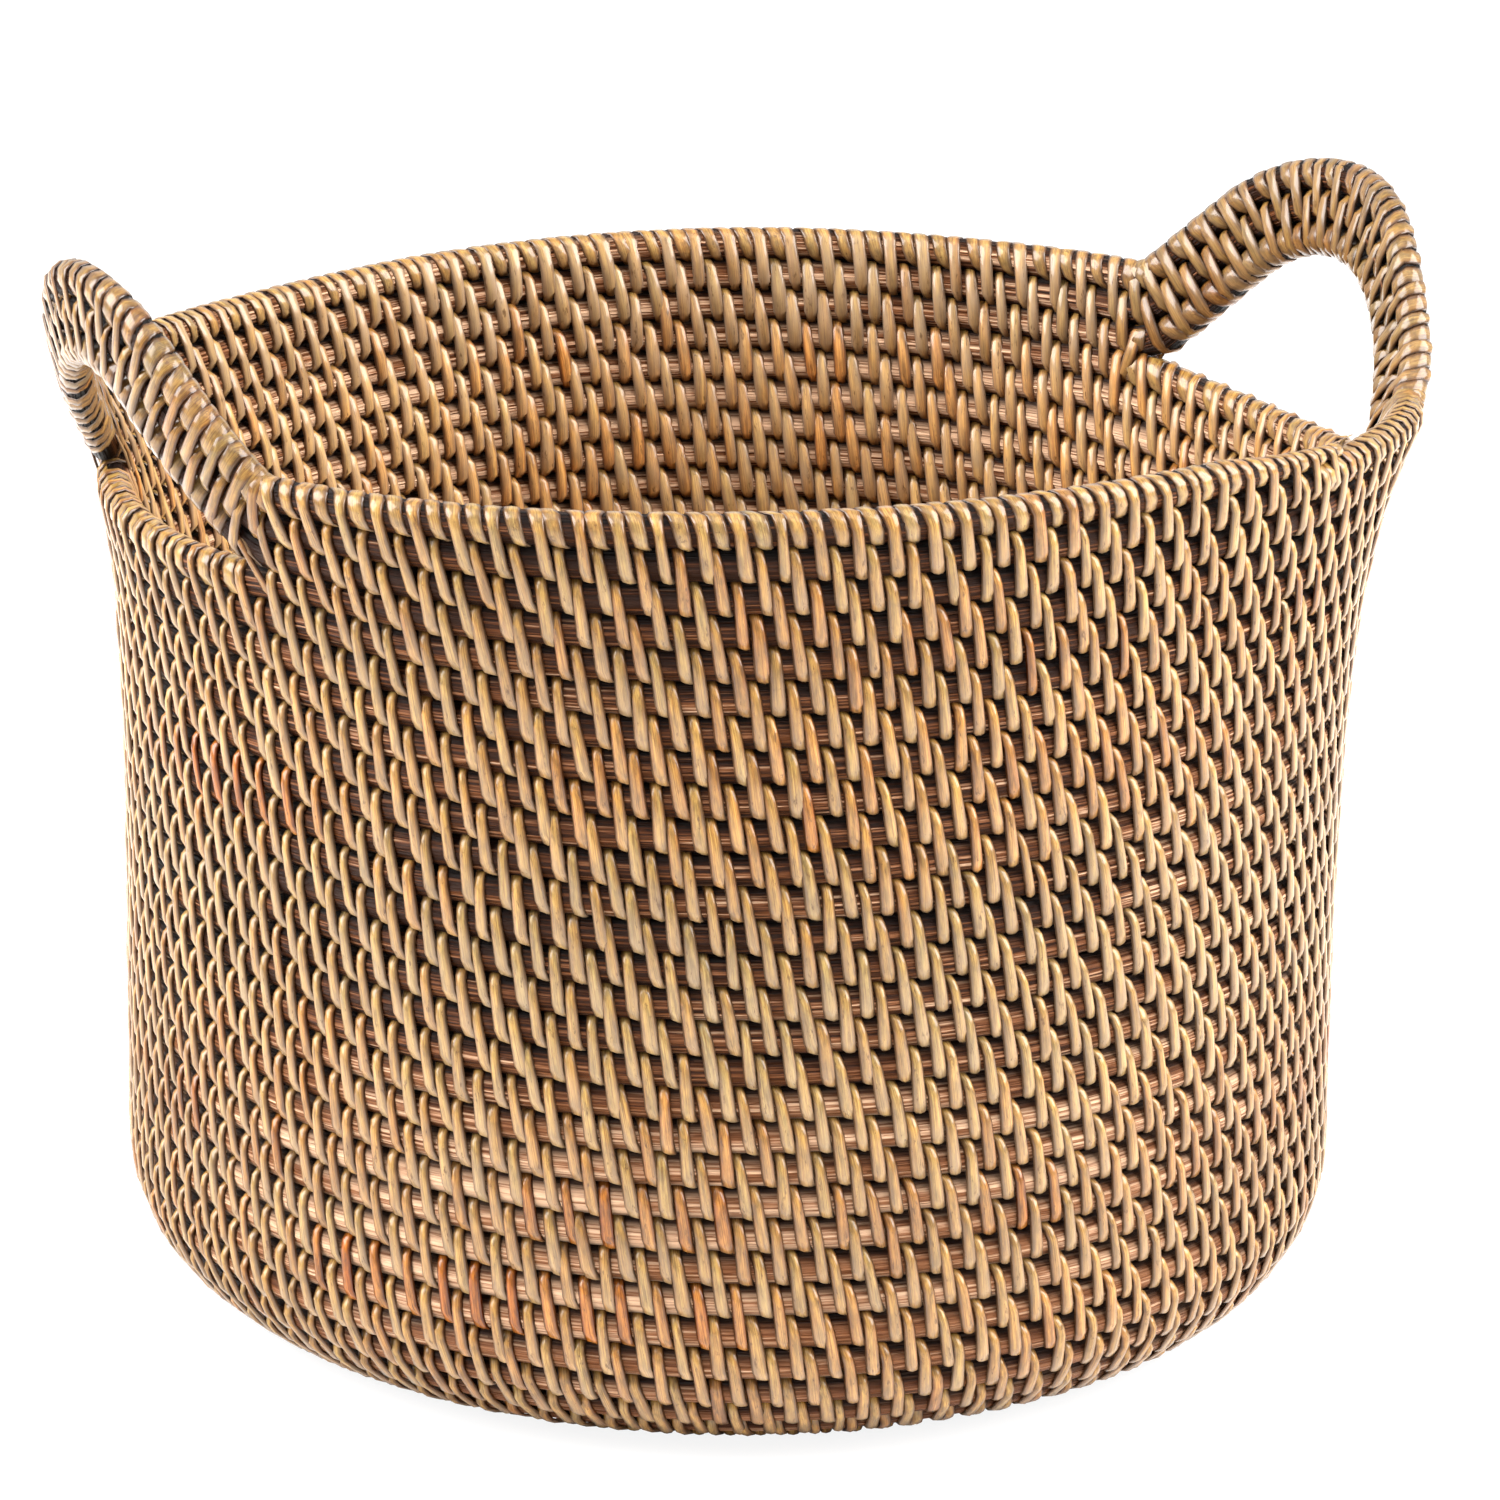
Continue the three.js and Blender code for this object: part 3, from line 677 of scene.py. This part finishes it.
def put_strips(name, runs):
    """One piece from several runs of stitches, each run's faces counted on from the ones before."""
    faces, caps, seen = [], [], 0
    for points, _, _ in runs:
        faces.append(tube_faces(len(points), len(SECTION)) + seen)
        caps.append(end_caps(len(points), len(SECTION)) + seen)
        seen += len(points) * len(SECTION)
    points, places, tones = (np.concatenate(values) for values in zip(*runs))
    put_mesh(name, points, np.concatenate(faces), np.concatenate(caps),
             {"strand": places, "tone": tones}, peel)


# Colours of the peel from green to orange, of grey wear, scars and fibres, and the painted shade at the
# edges of each strip
PEEL_GREEN, PEEL_STRAW, PEEL_TAN = (0.360, 0.255, 0.092), (0.418, 0.262, 0.067), (0.430, 0.238, 0.056)
PEEL_PINK, PEEL_ORANGE = (0.437, 0.200, 0.048), (0.39, 0.125, 0.012)
PEEL_GREY, PEEL_SCAR = (0.40, 0.280, 0.180), (0.085, 0.036, 0.015)
PEEL_SHADES = ((0.12, (0.14, 0.065, 0.026)), (0.60, (0.62, 0.48, 0.35)), (1.0, (1.0, 1.0, 1.0)))
# Repeats of each pattern along a strand and across it, per millimetre, and from strand to strand
DRIFT_REPEATS, PEEL_FIBRES, CLOUD_REPEATS = (0.012, 0.05, 3.7), (0.10, 3.6, 1.0), (0.22, 0.7, 1.9)
RUB_REPEATS, SCAR_REPEATS = (0.09, 0.3, 2.3), (0.30, 0.75, 5.1)
HUE_STEP, LIGHT_STEP = 0.09, 0.07
# What a pattern is worth: from and to on the pattern, and from and to of its worth
FIBRE_WORTH, CLOUD_WORTH = {1: 0.34, 2: 0.60, 3: 0.44, 4: 1.05}, {1: 0.36, 2: 0.62, 3: 0.52, 4: 1.04}
# Painted shade: each strip is darkened towards its edges, down to a share of its colour
EDGE_SHADE_WORTH, FRESH_WORTH = {1: 0.7, 2: 1.7, 3: 1.0, 4: 0.15}, {1: 0.55, 2: 0.85, 3: 1.0, 4: 0.0}
SCAR_WORTH = {1: 0.60, 2: 0.70, 3: 0.0, 4: 0.75}
PEEL_RELIEF = 0.0002
peel, tree, shader, add = fresh_material("rattan_peel", 0.30)
shader.inputs["Specular IOR Level"].default_value = 0.10
shader.inputs["Coat Weight"].default_value = 0.85
shader.inputs["Coat IOR"].default_value = 1.41
shader.inputs["Coat Roughness"].default_value = 0.18
tone = add("ShaderNodeAttribute", {"attribute_name": "tone"}).outputs["Vector"]
toned = add("ShaderNodeSeparateXYZ", Vector=tone)
lie = add("ShaderNodeAttribute", {"attribute_name": "strand"}).outputs["Vector"]
spot = add("ShaderNodeSeparateXYZ", Vector=lie)
hue = add("ShaderNodeMath", {"operation": "MULTIPLY_ADD", 1: HUE_STEP},
          i0=toned.outputs["X"], i2=pattern(add, lie, DRIFT_REPEATS))
colour = ramp(add, hue.outputs["Value"], (
    (0.14, PEEL_GREEN), (0.39, PEEL_STRAW), (0.57, PEEL_TAN), (0.78, PEEL_PINK), (0.98, PEEL_ORANGE)))
fibres = pattern(add, lie, PEEL_FIBRES, 4.0, 0.65)
streak = add("ShaderNodeMapRange", FIBRE_WORTH, i0=fibres)
from_middle = add("ShaderNodeMath", {"operation": "ABSOLUTE"}, i0=spot.outputs["Y"])
# Painted shade: the strip gets darker towards its edges
edge_shade = add("ShaderNodeMapRange", EDGE_SHADE_WORTH, i0=from_middle.outputs["Value"])
shade = add("ShaderNodeMath", {"operation": "MULTIPLY"},
            i0=streak.outputs["Result"], i1=edge_shade.outputs["Result"])
shaded = tinted(add, colour, ramp(add, shade.outputs["Value"], PEEL_SHADES))
own_light = add("ShaderNodeMath", {"operation": "MULTIPLY_ADD", 1: LIGHT_STEP, 2: 1.0},
                i0=toned.outputs["Y"])
mottle = add("ShaderNodeMapRange", CLOUD_WORTH, i0=pattern(add, lie, CLOUD_REPEATS, 3.0, 0.6))
light = add("ShaderNodeMath", {"operation": "MULTIPLY"},
            i0=own_light.outputs["Value"], i1=mottle.outputs["Result"])
lit = add("ShaderNodeVectorMath", {"operation": "SCALE"}, i0=shaded, Scale=light.outputs["Value"])
fresh = add("ShaderNodeMapRange", FRESH_WORTH, i0=hue.outputs["Value"])
rubbed = add("ShaderNodeMath", {"operation": "MULTIPLY"},
             i0=toned.outputs["Z"], i1=pattern(add, lie, RUB_REPEATS))
grey = add("ShaderNodeMath", {"operation": "MULTIPLY"},
           i0=rubbed.outputs["Value"], i1=fresh.outputs["Result"])
worn = add("ShaderNodeMix", {"data_type": "RGBA", 7: (*PEEL_GREY, 1)},
           i0=grey.outputs["Value"], i6=lit.outputs["Vector"])
scar = add("ShaderNodeMapRange", SCAR_WORTH, i0=pattern(add, lie, SCAR_REPEATS, 3.0, 0.72))
marked = add("ShaderNodeMix", {"data_type": "RGBA", 7: (*PEEL_SCAR, 1)},
             i0=scar.outputs["Result"], i6=worn.outputs[2])
tree.links.new(marked.outputs[2], shader.inputs["Base Color"])
relief = add("ShaderNodeBump", {"Strength": 0.5, "Distance": PEEL_RELIEF}, Height=fibres)
tree.links.new(relief.outputs["Normal"], shader.inputs["Normal"])

# In the middle of the floor the strand goes round one course only
MIDDLE_SPREAD, MIDDLE_CROWN = 0.9, 0.85
put_strips("floor_stitches", [
    short_wraps(first_after(START_TURN), floor_first, 0.0, MIDDLE_SPREAD, MIDDLE_CROWN),
    long_stitches(floor_first, corner_first)])
put_strips("corner_stitches", [long_stitches(corner_first, wall_first)])
# The wall's stitches are two pieces, because one would be too large a mesh
WALL_PIECES = 2
wall_marks = np.linspace(wall_first, handle_first, WALL_PIECES + 1).astype(int)
for number, (start, end) in enumerate(zip(wall_marks[:-1], wall_marks[1:])):
    put_strips(f"wall_stitches_{number + 1}", [long_stitches(start, end)])

# The rim and the handles.
# On a course with nothing above it a short wrap of the same peel, round that course alone, fills
# the place between two long stitches. So it is on the rim, on the handles and on the edge of the
# wall under each handle.
HANDLE_SPREAD, RIM_SPREAD, WRAP_CROWN = 1.50, 1.42, 0.55
HALF_STITCH = 0.5
# The first free edge is looked for this many turns before the handle courses, and the coil's end
# leaves the course below it free from this many turns before it ends
EDGE_REACH, END_BOUND = 1.2, 0.014


def runs_of(counts, wanted):
    """First and past-the-last count of each unbroken run of stitches that are wanted."""
    cuts = np.flatnonzero(np.diff(np.concatenate([[False], wanted, [False]]).astype(int)))
    return [(counts[0] + a, counts[0] + b) for a, b in zip(cuts[::2], cuts[1::2])]


handle_counts = np.arange(handle_first, first_after(END_TURN))
sewn = reach(turn_at(handle_counts)) < LONGEST_REACH
put_strips("handle_stitches", [long_stitches(a, b) for a, b in runs_of(handle_counts, sewn)])
put_strips("handle_wraps", [
    short_wraps(a - 1, b + 1, 0.0, HANDLE_SPREAD, WRAP_CROWN) for a, b in runs_of(handle_counts, ~sewn)])
edge_counts = np.arange(first_after(HANDLE_TURN - EDGE_REACH) - 1, first_after(END_TURN))
above = turn_at(edge_counts + HALF_STITCH) + 1
free = (above > END_TURN - END_BOUND) | (reach(np.minimum(above, END_TURN)) > LONGEST_REACH)
put_strips("rim_wraps", [
    short_wraps(a, b, HALF_STITCH, RIM_SPREAD, WRAP_CROWN) for a, b in runs_of(edge_counts, free)])

# The studio.
# A plain pale floor and soft light from above and from both sides. The camera stands in front of
# the basket, a little above it, and the basket stands a degree out of true to it. Sizes are in metres.
VIEW_TURN, VIEW_HEIGHT, VIEW_LEAN = np.radians(-21.82), np.radians(17.78), np.radians(-0.944)
VIEW_DISTANCE, AIM = 1.892, (0.0075, 0.0, 0.1555)
LENS, SENSOR, FARTHEST = 152.3, 36.0, 20
camera_data = bpy.data.cameras.new("camera")
camera_data.lens, camera_data.sensor_width, camera_data.clip_end = LENS, SENSOR, FARTHEST
camera = bpy.data.objects.new("camera", camera_data)
camera.matrix_world = (
    Matrix.Rotation(VIEW_TURN, 4, "Z") @ Matrix.Rotation(VIEW_LEAN, 4, "Y") @ Matrix.Translation(AIM)
    @ Matrix.Rotation(np.pi / 2 - VIEW_HEIGHT, 4, "X") @ Matrix.Translation((0, 0, VIEW_DISTANCE)))
bpy.context.scene.collection.objects.link(camera)
bpy.context.scene.camera = camera
bpy.context.scene.view_settings.view_transform = "Standard"

FLOOR_HALF = 6
FLOOR_COLOUR, WHITE = (0.85, 0.85, 0.85, 1), (1, 1, 1, 1)
# To the camera the floor is mostly an even white, so that it has no edge against the background
FLOOR_GLOW, GLOW_SHARE = 1.08, 0.82
floor_mesh = bpy.data.meshes.new("floor")
floor_corners = [(x * FLOOR_HALF, y * FLOOR_HALF, 0) for x, y in ((-1, -1), (1, -1), (1, 1), (-1, 1))]
floor_mesh.from_pydata(floor_corners, [], [(0, 1, 2, 3)])
floor_piece = bpy.data.objects.new("floor", floor_mesh)
bpy.context.scene.collection.objects.link(floor_piece)
ground, tree, shader, add = fresh_material("pale_floor", 0.9)
shader.inputs["Base Color"].default_value = FLOOR_COLOUR
white = add("ShaderNodeEmission", {"Color": WHITE, "Strength": FLOOR_GLOW})
sight = add("ShaderNodeLightPath")
share = add("ShaderNodeMath", {"operation": "MULTIPLY", 1: GLOW_SHARE}, i0=sight.outputs["Is Camera Ray"])
mixed = add("ShaderNodeMixShader",
            i0=share.outputs["Value"], i1=shader.outputs["BSDF"], i2=white.outputs["Emission"])
tree.links.new(mixed.outputs["Shader"], tree.nodes["Material Output"].inputs["Surface"])
floor_mesh.materials.append(ground)

# The room is white to the camera and in reflections, and gives only a little light
ROOM_LIGHT, ROOM_SEEN = 0.17, 1.0
world = bpy.data.worlds.new("studio")
bpy.context.scene.world = world
world.use_nodes = True
add = node_adder(world.node_tree)
room = world.node_tree.nodes["Background"]
room.inputs["Color"].default_value = WHITE
rays = add("ShaderNodeLightPath")
seen = add("ShaderNodeMath", {"operation": "MAXIMUM"},
           i0=rays.outputs["Is Camera Ray"], i1=rays.outputs["Is Glossy Ray"])
power = add("ShaderNodeMapRange", {"To Min": ROOM_LIGHT, "To Max": ROOM_SEEN}, Value=seen.outputs["Value"])
world.node_tree.links.new(power.outputs["Result"], room.inputs["Strength"])

# Name, place, size and power of each lamp. All face one point in the basket.
LAMPS = (("left_lamp", (-2.10, 0.54, 1.90), 2.3, 230.0), ("right_lamp", (1.88, -1.08, 1.80), 2.4, 246.0),
         ("front_lamp", (-0.18, -0.4, 2.8), 2.1, 34.0))
LIT_POINT = (0, 0, 0.15)
for name, place, size, watts in LAMPS:
    data = bpy.data.lights.new(name, "AREA")
    data.size, data.energy = size, watts
    lamp = bpy.data.objects.new(name, data)
    lamp.rotation_euler = (Vector(place) - Vector(LIT_POINT)).to_track_quat("Z", "Y").to_euler()
    lamp.location = place
    bpy.context.scene.collection.objects.link(lamp)
